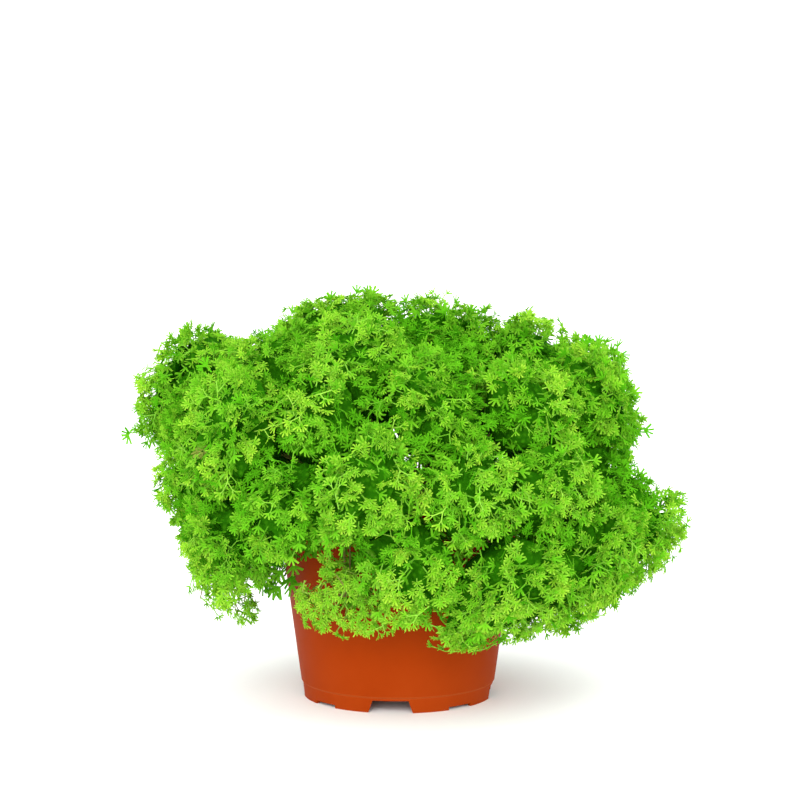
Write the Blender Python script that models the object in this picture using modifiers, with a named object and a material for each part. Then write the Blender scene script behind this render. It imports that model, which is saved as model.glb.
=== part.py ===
"""Potted spikemoss: a mound of leafy sprays that rise from the soil of a plastic nursery pot.

Metres, +Z up. The origin is the middle of the pot's foot, on the surface that it stands on.
-Y is the front.
"""

import math
import random

import bmesh
import bpy
from mathutils import Matrix, Vector

MM = 0.001
GAP = 0.3 * MM

# Pot
POT_HEIGHT = 94 * MM
POT_STEPS = 36
WALL = 1.4 * MM
FOOT_RADIUS = 45.0 * MM
FOOT_HEIGHT = 7.2 * MM
FOOT_WALL = 2.0 * MM
LEDGE = 0.7 * MM
WALL_TAPER = math.tan(math.radians(7.8))
BAND_RADIUS = 60 * MM
BAND_HEIGHT = 9 * MM
BAND_LEAN = 0.6 * MM
LIP_ROUND = 1.2 * MM
LIP_EDGE = 0.7 * MM
LEDGE_SLOPE = 0.3 * MM
FOOT_LEAN = 0.5 * MM
FLOOR_UNDERSIDE = 6.2 * MM
FLOOR_TOP = 7.6 * MM
DRAIN_COUNT = 4
DRAIN_RADIUS = 4.5 * MM
DRAIN_CIRCLE = 28 * MM

# Openings round the foot: deep drain notches, with a shallow recess midway between them
NOTCH_COUNT = 4
NOTCH_AZIMUTH = math.radians(-94.5)
NOTCH_WIDTH = 20.5 * MM
NOTCH_TOP_WIDTH = 16.5 * MM
NOTCH_HEIGHT = 5.8 * MM
RECESS_WIDTH = 13.5 * MM
RECESS_HEIGHT = 1.5 * MM

# Soil
SOIL_LEVEL = 81 * MM
SOIL_CROWN = 3 * MM
SOIL_LUMP = 0.9 * MM
SOIL_SEGMENTS = 24
SOIL_FOOT_ROOM = 1.6 * MM
SOIL_TOP_ROOM = 0.5 * MM

# Stems
STEM_RADIUS = 1.3 * MM
STEM_DEPTH = 13 * MM
HOLE_RADIUS = 2.1 * MM
HOLE_SIDES = 5
RIM_CLEARANCE = 5 * MM
OVER_SOIL = 2 * MM
RIM_INSIDE = 8 * MM
RIM_OUTSIDE = 3 * MM
RIM_RISE = 2 * MM
KNEE_RISE = 4 * MM
KNEE_OUT = 0.2
KNEE_UP = 0.45

# Sprays
CORE_SIDE = 28 * MM
CORE_FRONT = 14 * MM
CORE_BACK = 14 * MM
CORE_LUMP = 0.3
CORE_SEGMENTS = 8
CORE_RINGS = 4
CORE_GAP = 1.2 * MM
CORE_SHRINK = 0.94
STEM_SIGHT = math.cos(math.radians(34))
SHORT_OF_STEM = 0.92
MOUND_MIDDLE = Vector((0, 0, POT_HEIGHT))
CELL_GAP = 0.5 * MM
POT_CLEARANCE = 1.8 * MM

# Fans of leafy branchlets, each forked twice into four fingers. The outline runs from the notch
# between the middle fingers round one side towards the root: degrees from the fan's own
# direction, and reach as a share of the fan's length.
FAN_OUTLINE = (
    (0, 0.42),
    (19, 1.00),
    (43, 0.50),
    (70, 0.90),
    (128, 0.28),
)
FAN_LENGTH = 17 * MM
FAN_THICKNESS = 2.4 * MM
FAN_ARCH = 2.2 * MM
FAN_STANDOFF = 6 * MM
FAN_TURN_OUT = 0.09
ROOT_SHARE = 0.4
FAN_TILT = 24
FAN_TILT_RANGE = 6
FAN_TILT_GAIN = 0.36
FAN_SWING = 25
FAN_ROLL = 16
FAN_SPREAD = 106
FAN_SHARE_START = 0.2
FAN_TURN_RANGE = 0.25
FAN_SIZES = (0.92, 1.1)
FAN_STANDOFFS = (0.8, 1.3)
GOLDEN_ANGLE = math.pi * (3 - math.sqrt(5))
FIT_TRIES = 10
TRY_POLAR = 0.96
TRY_SIZE = 0.965

# Tiers of sprays, from the top of the mound to the skirt that hangs over the rim. Each spray is
# (degrees round the pot from +X, distance from the pot's axis, height), in degrees and millimetres.
TIERS = {
    "crown": (
        (138, 43, 161),
        (48, 38, 153),
        (10, 64, 145),
        (236, 40, 150),
        (328, 20, 143),
    ),
    "upper": (
        (241, 71, 131),
        (288, 57, 137),
        (322, 72, 136),
        (349, 86, 135),
        (26, 94, 132),
        (57, 78, 136),
        (88, 74, 138),
        (120, 78, 136),
        (150, 62, 141),
        (168, 97, 141),
        (190, 60, 146),
        (218, 86, 126),
    ),
    "shoulder": (
        (238, 83, 104),
        (262, 86, 106),
        (290, 85, 103),
        (316, 88, 103),
        (347, 85, 108),
        (13, 85, 106),
        (42, 91, 103),
        (72, 88, 103),
        (103, 87, 103),
        (134, 92, 103),
        (162, 89, 112),
        (192, 85, 113),
    ),
    "skirt": (
        (215, 85, 81),
        (272, 83, 82),
        (302, 88, 68),
        (326, 94, 79),
        (352, 98, 77),
        (25, 95, 78),
        (56, 90, 78),
        (87, 85, 79),
        (118, 88, 79),
        (149, 88, 81),
        (180, 75, 85),
    ),
    "trailing": (
        (249, 69, 58),
        (203, 82, 59),
        (103, 80, 52),
        (39, 83, 52),
    ),
}
FANS_IN_TIER = {"crown": 11, "upper": 9, "shoulder": 9, "skirt": 9, "trailing": 5}
SOIL_DISTANCE = {"crown": 11, "upper": 23, "shoulder": 36, "skirt": 46, "trailing": 46}
DROOP_IN_TIER = {"crown": 0, "upper": 0, "shoulder": 4, "skirt": 20, "trailing": 8}
CORE_IN_TIER = {"crown": 1, "upper": 1, "shoulder": 1, "skirt": 1, "trailing": 0.34}
STEM_SAMPLES = 8
STEM_CLEARANCE = 4.5 * MM
SEED = 11


def material(name, colour, roughness):
    made = bpy.data.materials.new(name)
    made.use_nodes = True
    shader = made.node_tree.nodes["Principled BSDF"]
    shader.inputs["Base Color"].default_value = (*colour, 1)
    shader.inputs["Roughness"].default_value = roughness
    return made


def new_object(name, mesh, collection, finish=None):
    made = bpy.data.objects.new(name, mesh)
    collection.objects.link(made)
    if finish:
        mesh.materials.append(finish)
    return made


def new_collection(name):
    made = bpy.data.collections.new(name)
    bpy.context.scene.collection.children.link(made)
    return made


def evaluated_mesh(source):
    """A mesh of what the object shows, with its modifiers applied."""
    graph = bpy.context.evaluated_depsgraph_get()
    return bpy.data.meshes.new_from_object(source.evaluated_get(graph))


def apply_modifiers(target):
    finish = list(target.data.materials)
    old = target.data
    target.data = evaluated_mesh(target)
    target.modifiers.clear()
    bpy.data.meshes.remove(old)
    target.data.materials.clear()
    for slot in finish:
        target.data.materials.append(slot)


def boolean(target, collection, operation, solver="EXACT"):
    """Joins or cuts the target with everything in the collection, then clears the collection."""
    modifier = target.modifiers.new(operation.title(), "BOOLEAN")
    modifier.operation = operation
    modifier.operand_type = "COLLECTION"
    modifier.collection = collection
    modifier.solver = solver
    apply_modifiers(target)
    for used in list(collection.objects):
        bpy.data.objects.remove(used)
    bpy.data.collections.remove(collection)


def mesh_from(bm, name):
    mesh = bpy.data.meshes.new(name)
    bm.to_mesh(mesh)
    bm.free()
    return mesh


def pot_radius(z):
    """The outside radius of the pot's wall at a height."""
    return FOOT_RADIUS + LEDGE + (z - FOOT_HEIGHT) * WALL_TAPER


def pot_profile():
    """The pot's section, down the outside from the rim, under the floor and up the inside."""
    band_foot = POT_HEIGHT - BAND_HEIGHT
    wall_top = band_foot - BAND_LEAN
    return (
        (BAND_RADIUS - LIP_ROUND, POT_HEIGHT),
        (BAND_RADIUS, POT_HEIGHT - LIP_EDGE),
        (BAND_RADIUS - BAND_LEAN, band_foot),
        (pot_radius(wall_top), wall_top),
        (pot_radius(FOOT_HEIGHT), FOOT_HEIGHT + LEDGE_SLOPE),
        (FOOT_RADIUS, FOOT_HEIGHT - LEDGE_SLOPE),
        (FOOT_RADIUS - FOOT_LEAN, 0),
        (FOOT_RADIUS - FOOT_LEAN - FOOT_WALL, 0),
        (FOOT_RADIUS - FOOT_WALL, FLOOR_UNDERSIDE),
        (0, FLOOR_UNDERSIDE),
        (0, FLOOR_TOP),
        (pot_radius(FLOOR_TOP) - WALL, FLOOR_TOP),
        (pot_radius(wall_top) - WALL, band_foot),
        (BAND_RADIUS - BAND_LEAN - WALL, POT_HEIGHT - LIP_EDGE),
    )


def turned(name, profile, steps, collection, finish):
    """A closed profile of (radius, height) points, spun round the Z axis."""
    bm = bmesh.new()
    ring = [bm.verts.new((radius, 0, height)) for radius, height in profile]
    for start, end in zip(ring, ring[1:] + ring[:1]):
        if start.co.x > 0 or end.co.x > 0:
            bm.edges.new((start, end))
    made = new_object(name, mesh_from(bm, name), collection, finish)
    screw = made.modifiers.new("Turn", "SCREW")
    screw.steps = screw.render_steps = steps
    screw.use_merge_vertices = True
    screw.merge_threshold = 0.00001
    return made


def round_the_foot(azimuth):
    """A frame on the foot's circle: X runs outwards and Y along the circle."""
    return Matrix.Rotation(azimuth, 4, "Z") @ Matrix.Translation((FOOT_RADIUS, 0, 0))


def foot_cutter(width, top_width, height, azimuth, collection):
    """A block with sloped ends that opens a gap in the foot ring."""
    depth = 8 * MM
    below = 3 * MM
    bm = bmesh.new()
    bmesh.ops.create_cube(bm, size=1)
    for corner in bm.verts:
        top = corner.co.z > 0
        across = top_width if top else width + (width - top_width) * below / height
        corner.co = (
            corner.co.x * depth,
            math.copysign(across / 2, corner.co.y),
            height if top else -below,
        )
    cutter = new_object("foot cutter", mesh_from(bm, "foot cutter"), collection)
    cutter.matrix_world = round_the_foot(azimuth)


def cylinder(radius, low, high, segments, place, collection):
    bm = bmesh.new()
    bmesh.ops.create_cone(
        bm,
        cap_ends=True,
        segments=segments,
        radius1=radius,
        radius2=radius,
        depth=high - low,
    )
    made = new_object("cylinder", mesh_from(bm, "cylinder"), collection)
    made.location = (place.x, place.y, (low + high) / 2)


def make_pot(collection, finish):
    pot = turned("pot", pot_profile(), POT_STEPS, collection, finish)
    apply_modifiers(pot)
    cutters = new_collection("pot cutters")
    turn = math.tau / NOTCH_COUNT
    for index in range(NOTCH_COUNT):
        azimuth = NOTCH_AZIMUTH + index * turn
        foot_cutter(NOTCH_WIDTH, NOTCH_TOP_WIDTH, NOTCH_HEIGHT, azimuth, cutters)
        foot_cutter(RECESS_WIDTH, RECESS_WIDTH, RECESS_HEIGHT, azimuth + turn / 2, cutters)
    low = FLOOR_UNDERSIDE - 2 * MM
    high = FLOOR_TOP + 2 * MM
    for index in range(DRAIN_COUNT):
        azimuth = NOTCH_AZIMUTH + index * math.tau / DRAIN_COUNT
        place = DRAIN_CIRCLE * Vector((math.cos(azimuth), math.sin(azimuth)))
        cylinder(DRAIN_RADIUS, low, high, 12, place, cutters)
    boolean(pot, cutters, "DIFFERENCE")
    pot.data.shade_smooth()
    pot.data.set_sharp_from_angle(angle=math.radians(35))
    return pot


def soil_height(x, y):
    """The soil's surface: a low dome with lumps."""
    dome = SOIL_CROWN * (1 - (x * x + y * y) / (pot_radius(SOIL_LEVEL) ** 2))
    lumps = math.sin(x / (5 * MM)) * math.cos(y / (6 * MM)) + math.sin((x + y) / (9 * MM))
    return SOIL_LEVEL + dome + SOIL_LUMP * lumps / 2


def make_soil(sprays, collection, finish):
    """The soil fills the pot and has a plain hole for each stem."""
    inner = WALL + GAP
    low = FLOOR_TOP + GAP
    bm = bmesh.new()
    bmesh.ops.create_cone(
        bm,
        cap_ends=True,
        cap_tris=True,
        segments=SOIL_SEGMENTS,
        radius1=pot_radius(low) - inner - SOIL_FOOT_ROOM,
        radius2=pot_radius(SOIL_LEVEL) - inner - SOIL_TOP_ROOM,
        depth=SOIL_LEVEL - low,
    )
    bmesh.ops.translate(bm, verts=bm.verts, vec=(0, 0, (SOIL_LEVEL + low) / 2))
    middle = next(v for v in bm.verts if v.co.xy.length < MM and v.co.z > POT_HEIGHT / 2)
    bmesh.ops.subdivide_edges(bm, edges=list(middle.link_edges), cuts=2)
    for corner in bm.verts:
        if corner.co.z > SOIL_LEVEL - MM:
            corner.co.z = soil_height(corner.co.x, corner.co.y)
    bmesh.ops.triangulate(bm, faces=bm.faces)
    soil = new_object("soil", mesh_from(bm, "soil"), collection, finish)
    cutters = new_collection("stem holes")
    for spray in sprays:
        low = SOIL_LEVEL - STEM_DEPTH - GAP
        cylinder(HOLE_RADIUS, low, POT_HEIGHT, HOLE_SIDES, spray.foot, cutters)
    boolean(soil, cutters, "DIFFERENCE")
    return soil


class Spray:
    """Where one spray stands: its foot in the soil, its middle, and the way that it faces."""

    def __init__(self, tier, number, azimuth, distance, height):
        self.name = f"spray_{tier}_{number:02d}"
        self.tier = tier
        self.draw = random.Random(f"{SEED} {self.name}")
        out = Vector((math.cos(math.radians(azimuth)), math.sin(math.radians(azimuth)), 0))
        self.out = out
        self.foot = out * SOIL_DISTANCE[tier] * MM
        self.middle = out * distance * MM + Vector((0, 0, height * MM))
        droop = math.radians(DROOP_IN_TIER[tier])
        axis = (self.middle - MOUND_MIDDLE).normalized()
        self.axis = (axis - Vector((0, 0, math.sin(droop)))).normalized()
        self.across = self.axis.cross(Vector((0, 0, 1)) if abs(axis.z) < 0.95 else out).normalized()
        self.beside = self.axis.cross(self.across)
        self.near_stems = []

    def direction(self, polar, turn):
        """The unit vector at an angle from the spray's axis, turned round it."""
        sideways = self.across * math.cos(turn) + self.beside * math.sin(turn)
        return self.axis * math.cos(polar) + sideways * math.sin(polar)

    def stem_route(self):
        """Points from the foot of the hole, straight up out of the soil, to the spray's middle."""
        foot = self.foot + Vector((0, 0, SOIL_LEVEL - STEM_DEPTH))
        above_soil = self.foot + Vector((0, 0, SOIL_LEVEL + SOIL_CROWN + OVER_SOIL))
        over_rim = POT_HEIGHT + RIM_CLEARANCE
        if self.tier in ("skirt", "trailing"):
            inside = self.out * (BAND_RADIUS - RIM_INSIDE) + Vector((0, 0, over_rim - RIM_RISE))
            outside = self.out * (BAND_RADIUS + RIM_OUTSIDE) + Vector((0, 0, over_rim + RIM_RISE))
            return (foot, above_soil, inside, outside, self.middle)
        knee = self.foot.lerp(self.middle, KNEE_OUT)
        knee.z = max(over_rim + KNEE_RISE, above_soil.lerp(self.middle, KNEE_UP).z)
        return (foot, above_soil, knee, self.middle)


def make_sprays():
    """Every spray, each with the offsets from its middle to the other stems that pass near it."""
    sprays = [
        Spray(tier, number, *place)
        for tier, places in TIERS.items()
        for number, place in enumerate(places, 1)
    ]
    for spray in sprays:
        for other in sprays:
            if other is spray:
                continue
            for point in stem_points(other):
                offset = point - spray.middle
                if offset.length < CORE_SIDE + FAN_LENGTH:
                    spray.near_stems.append(offset)
    return sprays


def fan_points(hub, along, up, size, root):
    """A fan's outline, from its tip round to its stalk and back, then the middles of its faces."""
    side = up.cross(along)
    half = [(math.radians(angle), reach) for angle, reach in FAN_OUTLINE]
    outline = []
    for angle, reach in half:
        outward = along * math.cos(angle) + side * math.sin(angle)
        outline.append(hub + outward * reach * size * FAN_LENGTH - up * FAN_ARCH * reach**2)
    mirrored = []
    for angle, reach in reversed(half[1:]):
        outward = along * math.cos(angle) - side * math.sin(angle)
        mirrored.append(hub + outward * reach * size * FAN_LENGTH - up * FAN_ARCH * reach**2)
    middles = [hub + up * FAN_THICKNESS / 2, hub - up * FAN_THICKNESS / 2]
    return [*outline, root, *mirrored, *middles]


def stem_points(spray):
    """Points along a spray's stem, close together."""
    route = spray.stem_route()
    shares = [step / STEM_SAMPLES for step in range(STEM_SAMPLES)]
    return [start.lerp(end, share) for start, end in zip(route, route[1:]) for share in shares]


def cell_reach(spray, way, sprays):
    """How far the spray's own share of the mound runs from its middle in one direction."""
    reach = 1.0
    for other in sprays:
        toward = other.middle - spray.middle
        if other is not spray and way.dot(toward) > 0:
            reach = min(reach, toward.length_squared / 2 / way.dot(toward))
    return reach


def core_reach(spray, way, sprays, lump=1):
    """How far the packed inner leaves reach from the spray's middle in one direction."""
    facing = way.dot(spray.axis)
    end = CORE_FRONT if facing > 0 else CORE_BACK
    full = (CORE_SIDE + (end - CORE_SIDE) * facing**2) * CORE_IN_TIER[spray.tier]
    reach = min(full * lump, cell_reach(spray, way, sprays) - CORE_GAP)
    for offset in spray.near_stems:
        if way.dot(offset.normalized()) > STEM_SIGHT:
            room = offset.length * SHORT_OF_STEM - STEM_CLEARANCE
            reach = min(reach, max(room, STEM_RADIUS * 2))
    while not clear_of_pot(spray.middle + way * (reach + CORE_GAP)) and reach > STEM_RADIUS * 2:
        reach *= CORE_SHRINK
    return reach


def clear_of_pot(point):
    if point.z > POT_HEIGHT + POT_CLEARANCE:
        return True
    in_band = point.z > POT_HEIGHT - BAND_HEIGHT - POT_CLEARANCE * 2
    wall = BAND_RADIUS if in_band else pot_radius(point.z)
    return point.xy.length > wall + POT_CLEARANCE


def clear_of_others(points, spray, sprays):
    """True if the points keep to the spray's own share of the mound, off the pot and off stems."""
    for other in sprays:
        if other is spray:
            continue
        toward = other.middle - spray.middle
        limit = toward.length / 2 - CELL_GAP / 2
        toward.normalize()
        if any((point - spray.middle).dot(toward) > limit for point in points):
            return False
    hub = points[-1]
    spots = [*points, *(hub.lerp(point, 0.5) for point in points)]
    for offset in spray.near_stems:
        stem = spray.middle + offset
        if any((spot - stem).length < STEM_CLEARANCE for spot in spots):
            return False
    return all(clear_of_pot(point) for point in points)


def place_fan(spray, index, count, sprays):
    """The points of one fan, turned up and made smaller until it is clear, or None."""
    draw = spray.draw.uniform
    share = (index + FAN_SHARE_START) / count
    polar = math.acos(1 - share * (1 - math.cos(math.radians(FAN_SPREAD))))
    turn = index * GOLDEN_ANGLE + draw(-FAN_TURN_RANGE, FAN_TURN_RANGE)
    tilt = math.radians(FAN_TILT + draw(-FAN_TILT_RANGE, FAN_TILT_RANGE)) + FAN_TILT_GAIN * polar
    roll = math.radians(draw(-FAN_ROLL, FAN_ROLL))
    swing = math.radians(draw(-FAN_SWING, FAN_SWING))
    size = draw(*FAN_SIZES)
    standoff = FAN_STANDOFF * draw(*FAN_STANDOFFS)
    for attempt in range(FIT_TRIES):
        out = spray.direction(polar, turn)
        tangent = spray.direction(polar + math.pi / 2, turn)
        tangent.rotate(Matrix.Rotation(swing, 3, out))
        along = tangent * math.cos(tilt) + out * math.sin(tilt)
        along = along.lerp(spray.axis, FAN_TURN_OUT * attempt).normalized()
        up = (out - along * out.dot(along)).normalized()
        up.rotate(Matrix.Rotation(roll, 3, along))
        surface = core_reach(spray, out, sprays)
        hub = spray.middle + out * (surface * (1 - CORE_LUMP / 2) + standoff)
        root = spray.middle + out * surface * ROOT_SHARE
        points = fan_points(hub, along, up, size, root)
        if clear_of_others(points, spray, sprays):
            return points
        polar *= TRY_POLAR
        size *= TRY_SIZE
    return None


def fan_mesh(points):
    """A flat bipyramid from a two-ring sphere, with each corner moved to its point."""
    corners = 2 * len(FAN_OUTLINE)
    bm = bmesh.new()
    bmesh.ops.create_uvsphere(bm, u_segments=corners, v_segments=2, radius=1)
    for corner in bm.verts:
        if abs(corner.co.z) > 0.5:
            corner.co = points[-2] if corner.co.z > 0 else points[-1]
        else:
            angle = math.atan2(corner.co.y, corner.co.x)
            corner.co = points[round(angle / math.tau * corners) % corners]
    return mesh_from(bm, "fan")


def stem_object(route, collection):
    """A thin four-sided tube along the route."""
    curve = bpy.data.curves.new("stem", "CURVE")
    curve.dimensions = "3D"
    curve.bevel_depth = STEM_RADIUS
    curve.bevel_resolution = 0
    curve.use_fill_caps = True
    spline = curve.splines.new("POLY")
    spline.points.add(len(route) - 1)
    for point, place in zip(spline.points, route):
        point.co = (*place, 1)
    wire = new_object("stem wire", curve, collection)
    bm = bmesh.new()
    bm.from_mesh(evaluated_mesh(wire))
    bmesh.ops.remove_doubles(bm, verts=bm.verts, dist=0.001 * MM)
    stem = new_object("stem", mesh_from(bm, "stem"), collection)
    stem.matrix_world = wire.matrix_world
    bpy.data.objects.remove(wire)


def core_mesh(spray, sprays):
    """The packed inner leaves: a low sphere, with each corner moved to where the core ends."""
    bm = bmesh.new()
    bmesh.ops.create_uvsphere(bm, u_segments=CORE_SEGMENTS, v_segments=CORE_RINGS, radius=1)
    turned_to_axis = spray.axis.to_track_quat("Z", "Y").to_matrix()
    for corner in bm.verts:
        way = turned_to_axis @ corner.co.normalized()
        lump = 1 - CORE_LUMP * spray.draw.random()
        corner.co = spray.middle + way * core_reach(spray, way, sprays, lump)
    return mesh_from(bm, spray.name)


def make_spray(spray, sprays, collection, finish):
    """A stem, a small core and the fans that stand out of it, joined as one solid."""
    made = new_object(spray.name, core_mesh(spray, sprays), collection, finish)
    pieces = new_collection("pieces of " + spray.name)
    stem_object(spray.stem_route(), pieces)
    count = FANS_IN_TIER[spray.tier]
    for index in range(count):
        points = place_fan(spray, index, count, sprays)
        if points:
            new_object("fan", fan_mesh(points), pieces)
    boolean(made, pieces, "UNION")
    return made


def main():
    for old in list(bpy.data.objects):
        bpy.data.objects.remove(old)
    collection = new_collection("potted spikemoss")
    terracotta = material("pot plastic", (0.46, 0.062, 0.012), 0.42)
    peat = material("soil", (0.035, 0.022, 0.014), 0.95)
    leafy = material("foliage", (0.16, 0.46, 0.02), 0.6)
    sprays = make_sprays()
    make_pot(collection, terracotta)
    make_soil(sprays, collection, peat)
    for spray in sprays:
        make_spray(spray, sprays, collection, leafy)


main()
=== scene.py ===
"""Potted spikemoss: a mound of feathery green sprays in a terracotta-coloured nursery pot.

Metres, +Z up, -Y the front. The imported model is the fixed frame. Every piece rides on its one
body and stands for the node that it is named after.
"""

import itertools
import math
import random

import bmesh
import bpy
from bpy.props import FloatProperty, FloatVectorProperty, PointerProperty
from mathutils import Matrix, Vector, noise
from mathutils.bvhtree import BVHTree


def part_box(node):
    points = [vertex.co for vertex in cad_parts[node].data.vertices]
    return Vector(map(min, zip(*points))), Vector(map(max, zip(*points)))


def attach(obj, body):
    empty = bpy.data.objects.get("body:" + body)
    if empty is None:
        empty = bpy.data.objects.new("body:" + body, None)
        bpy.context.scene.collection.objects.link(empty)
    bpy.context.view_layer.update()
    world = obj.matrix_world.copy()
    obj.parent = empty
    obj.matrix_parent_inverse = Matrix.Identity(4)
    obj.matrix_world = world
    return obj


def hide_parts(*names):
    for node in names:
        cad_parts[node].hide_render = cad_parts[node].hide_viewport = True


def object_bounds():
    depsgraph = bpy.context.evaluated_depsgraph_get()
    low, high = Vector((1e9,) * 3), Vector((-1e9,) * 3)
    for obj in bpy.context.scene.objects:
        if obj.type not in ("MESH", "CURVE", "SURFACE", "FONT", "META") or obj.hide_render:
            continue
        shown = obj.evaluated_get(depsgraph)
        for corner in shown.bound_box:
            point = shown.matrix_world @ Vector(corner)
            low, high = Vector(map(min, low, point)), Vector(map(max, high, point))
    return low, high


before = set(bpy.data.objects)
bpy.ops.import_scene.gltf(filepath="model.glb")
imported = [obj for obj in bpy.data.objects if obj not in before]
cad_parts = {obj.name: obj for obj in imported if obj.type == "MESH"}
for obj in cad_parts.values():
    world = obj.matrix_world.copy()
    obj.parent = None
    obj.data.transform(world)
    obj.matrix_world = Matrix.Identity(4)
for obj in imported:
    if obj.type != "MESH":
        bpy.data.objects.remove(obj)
CAD_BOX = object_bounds()

bl_info = {
    "name": "Potted spikemoss",
    "version": (1, 0, 0),
    "blender": (4, 5, 0),
    "location": "3D View > Sidebar > Spikemoss",
    "description": "Builds a spikemoss house plant in its nursery pot",
    "category": "Object",
}

MM = 0.001
POT_LOW, POT_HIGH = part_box("pot")
SOIL_LOW, SOIL_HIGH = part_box("soil")
SEED = 7

# The pot's wall, the band round its rim with the room that leaves keep there, and its lip
WALL_TAPER = math.tan(math.radians(7.8))
BAND_HEIGHT = 9 * MM
BAND_LEAN = 0.6 * MM
BAND_SLOPE = 0.6 * MM
BAND_ROOM = 12 * MM
LIP_ROUND = 1.2 * MM
LIP_EDGE = 0.7 * MM
POT_STEPS = 120

# The ledge over the pot's foot, the foot ring and the floor inside it
LEDGE = 0.7 * MM
LEDGE_SLOPE = 0.3 * MM
FOOT_LEAN = 0.5 * MM
SOLE_INSIDE = 2.5 * MM
RING_WALL = 2.0 * MM
FLOOR_DROP = 1 * MM

# Drain notches in the foot ring, a shallow recess midway between them, and drain holes
NOTCH_COUNT = 4
NOTCH_AZIMUTH = math.radians(-94.5)
NOTCH_SIZE = (20.5 * MM, 16.5 * MM, 5.8 * MM)
RECESS_SIZE = (13.5 * MM, 13.5 * MM, 1.5 * MM)
DRAIN_RADIUS = 4.5 * MM
DRAIN_CIRCLE = 28 * MM

# Soil
SOIL_LEVEL = 81 * MM
SOIL_CROWN = 3 * MM
SOIL_TOP_ROOM = 0.8 * MM
SOIL_FOOT_ROOM = 1.9 * MM
SOIL_RINGS = 22
SOIL_STEPS = 72
CRUMB_COUNT = 420
CRUMB_REACH = 0.97
CRUMB_SIZES = (0.5, 1.5)
CRUMB_SHAPE = (1.4, 1.0, 0.7, 1.0)

# How the lobes of the mound and the routes of their stems are read from the CAD nodes
LOBE_REACH = 50 * MM
STEM_PATCH = 3.5 * MM
OVER_SOIL = 2 * MM
RIM_CLEARANCE = 5 * MM
RIM_INSIDE = 8 * MM
RIM_OUTSIDE = 3 * MM
RIM_RISE = 2 * MM
KNEE_RISE = 4 * MM
KNEE_OUT = 0.2
KNEE_UP = 0.45

# The strands of stem that run together into a lobe. Their radius and how far apart they start are
# in millimetres, and those of the skirt and of the trailing sprays look older.
STRAND_COUNT = 3
STRAND_SIDES = 5
STRAND_THICK = 0.62
STRAND_THINNING = 0.2
STRAND_OUT = 0.55
STRAND_PARTING = 2.2
STRAND_TINTS = (0.2, 0.6)
STRAND_AGE = 0.65
OLDER_AGE = 0.9

# Sprigs, in millimetres before they are placed. A hand is a flat leafy end that is deeply cut
# into short blunt fingers.
HAND_THICKNESS = 0.34
HAND_ARCH = 0.14
HUB_REACH = 0.1
PALM_REACH = 0.22
CUT_REACH = 0.3
BLUNT = 7
BLUNT_REACH = 0.94
HUB_TIP = 0.35
HAND_TURN = 8
HAND_LIFTS = (-22, 26)
HAND_ROLL = 50
FINGER_STEPS = (36, 44)
FINGER_TURN = 3
FINGER_REACHES = (0.82, 1.1)
TWIG_SIDES = 3
TWIG_TIP = 0.1
SPRIG_STEM = (0.27, 0.23, 0.17)
RUNNER_STEM = (0.32, 0.28, 0.24, 0.18)
UNDER_STEM = (0.34, 0.26)
KIND_COUNTS = {"sprig": 6, "runner": 4, "under": 4}
SPRIG_LENGTH = {"sprig": 10.5, "runner": 14.5, "under": 9.0}
RUNNER_SHARE = 0.2
OLD_SHARE = 0.001
# The values that the foliage reads; between and shade carry painted shade.
GROWTH = ("tip", "between", "tint", "shade", "age")
SEE_THROUGH = 0.47

# The skin of the mound, on which the sprigs end. Each row of the shaping is a direction from the
# mound's middle and a width, in degrees, and how far the skin moves out there.
MOUND_MIDDLE = Vector((0, 0, POT_HIGH.z))
FAR_OUT = 300 * MM
VALLEY_STEPS = 3
VALLEY_DEPTH = 7 * MM
LEAST_REACH = 40 * MM
SHAPING = (
    (176, 25, 10, 6 * MM),
    (178, 9, 9, -7 * MM),
    (203, 52, 8, -9 * MM),
    (158, 52, 8, -9 * MM),
    (352, 18, 9, -5 * MM),
    (350, -6, 8, 7 * MM),
    (345, -22, 8, -6 * MM),
)

# Hollows of the skin, which are darkened with painted shade
HOLLOW_STEPS = 9
HOLLOW_DEPTH = 7.5 * MM
HOLLOW_SHADE = 0.72
MOST_SHADE = 0.9

# How a sprig lies on the skin: away from the heart of its lobe, scattered and rolled, in degrees
HEART_RISE = 12 * MM
AWAY = 1.2
AWAY_EASE = 10 * MM
SCATTER = 0.7
ROLL = 28

# The sizes of the outer sprigs and of the ones under them, which are darkened with painted shade, how deep
# in millimetres they start, and their colour. LOBE_LEAN turns the outer ones away from the middle of their
# lobe.
OUTER_SIZES = (0.82, 1.18)
OUTER_DEPTHS = (-1.5, 2.5)
OUTER_SHADE = 0.35
OLD_AGES = (0.3, 0.6)
LOBE_LEAN = 0.5
UNDER_SIZES = (0.9, 1.2)
UNDER_DEPTHS = (5.5, 9.5)
UNDER_SHADES = (0.15, 0.6)
UNDER_TINT = 0.7

# How far a sprig keeps from the pot, and may stray out of the skin and the CAD model's box
POT_GAP = 1.5 * MM
PLACE_POT_GAP = 2 * MM
TRAIL_POT_GAP = 3 * MM
STRAY = 1.5 * MM
BOX_LEEWAY = 3 * MM

# The gap between sprigs, the places tried for them in each patch, how far each tier hangs, in the
# order in which they are made, and how far each sort of sprig may tilt out of the skin, in degrees
SPRIG_GAP = 5.1 * MM
PATCH_WIDTH = 3.6 * MM
PATCH_TRIES = 3
HANG = {"crown": 0.0, "upper": 0.0, "shoulder": 0.1, "skirt": 0.3, "trailing": 0.9}
TILTS = {"sprig": (18, 62), "runner": (2, 24), "under": (5, 35)}

# The imported inner leaves, a sheet painted dark for the shade inside the mound, and the sprigs in the
# hollows, which get painted shade
CORE_DEPTH = 12.5 * MM
CORE_LUMP = 4.0 * MM
CORE_LEAST_DEPTH = 0.4 * MM
CORE_LEAST_REACH = 4 * MM
INNER_GAP = 5.8 * MM
INNER_HOLLOW = 0.3
INNER_DEPTHS = (4, 9)
INNER_DARK = 0.3

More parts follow.
